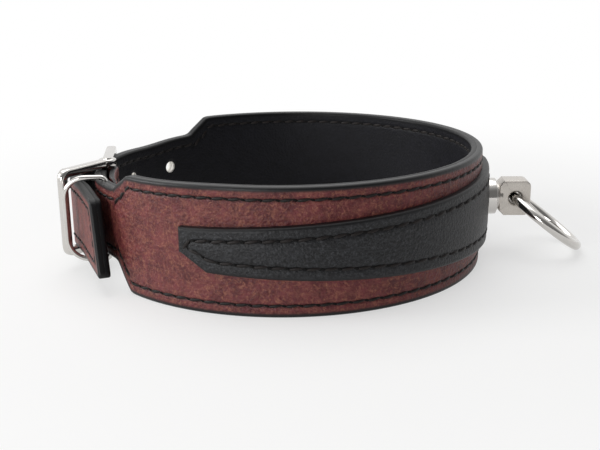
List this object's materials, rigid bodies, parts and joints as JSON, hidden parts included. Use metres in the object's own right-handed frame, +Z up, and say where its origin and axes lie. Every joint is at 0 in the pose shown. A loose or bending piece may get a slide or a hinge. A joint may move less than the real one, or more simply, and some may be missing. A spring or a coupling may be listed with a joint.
{
  "type": "leather buckle collar",
  "caption": "Wide lined leather collar with a tapered overlay, a centre-bar buckle with prong and wire keeper, and a swivel carrying a leash ring.",
  "frame": {"origin": "centre of the neck loop, on the plane of the lower edge on which the collar stands", "axes": "+X from the loop centre out through the swivel, +Z up along the axis of the loop, +Y completes a right-handed frame"},
  "size_m": [0.1829, 0.1416, 0.04],
  "materials": {
    "brown_leather": "reddish-brown bridle leather, mottled, low sheen",
    "lining_leather": "smooth black lining leather, low sheen",
    "black_leather": "black leather with a soft sheen",
    "polished_steel": "polished stainless steel",
    "satin_steel": "fine satin stainless steel"
  },
  "bodies": {
    "collar": {"outer_leather": "brown_leather", "lining_leather": "lining_leather", "overlay_panel": "black_leather", "swivel_post": "satin_steel", "swivel_flange": "satin_steel", "swivel_washer": "satin_steel"},
    "swivel": {"swivel_head": "satin_steel", "swivel_collar": "satin_steel"},
    "ring": {"leash_ring": "polished_steel"},
    "buckle": {"buckle_frame": "polished_steel", "centre_bar": "polished_steel"},
    "prong": {"buckle_prong": "polished_steel"},
    "keeper": {"keeper_loop": "polished_steel"}
  },
  "joints": [
    {"name": "swivel_spin", "type": "hinge", "parent": "collar", "child": "swivel", "pos_m": [0.0807, 0, 0.02], "axis": [1, 0, 0], "continuous": true},
    {"name": "ring_swing", "type": "hinge", "parent": "swivel", "child": "ring", "pos_m": [0.0807, 0, 0.02], "axis": [0, 1, 0], "range_deg": [-135, 60]},
    {"name": "buckle_pivot", "type": "hinge", "parent": "collar", "child": "buckle", "pos_m": [-0.06412, -0.00392, 0.02], "axis": [0, 0, 1], "range_deg": [-1.4, 1.5]},
    {"name": "prong_pivot", "type": "hinge", "parent": "buckle", "child": "prong", "pos_m": [-0.06412, -0.00392, 0.02], "axis": [0, 0, 1], "range_deg": [0, 5]},
    {"name": "keeper_lean", "type": "hinge", "parent": "collar", "child": "keeper", "pos_m": [-0.05939, -0.02833, 0.02], "axis": [0, 0, 1], "range_deg": [-5, 20]}
  ]
}
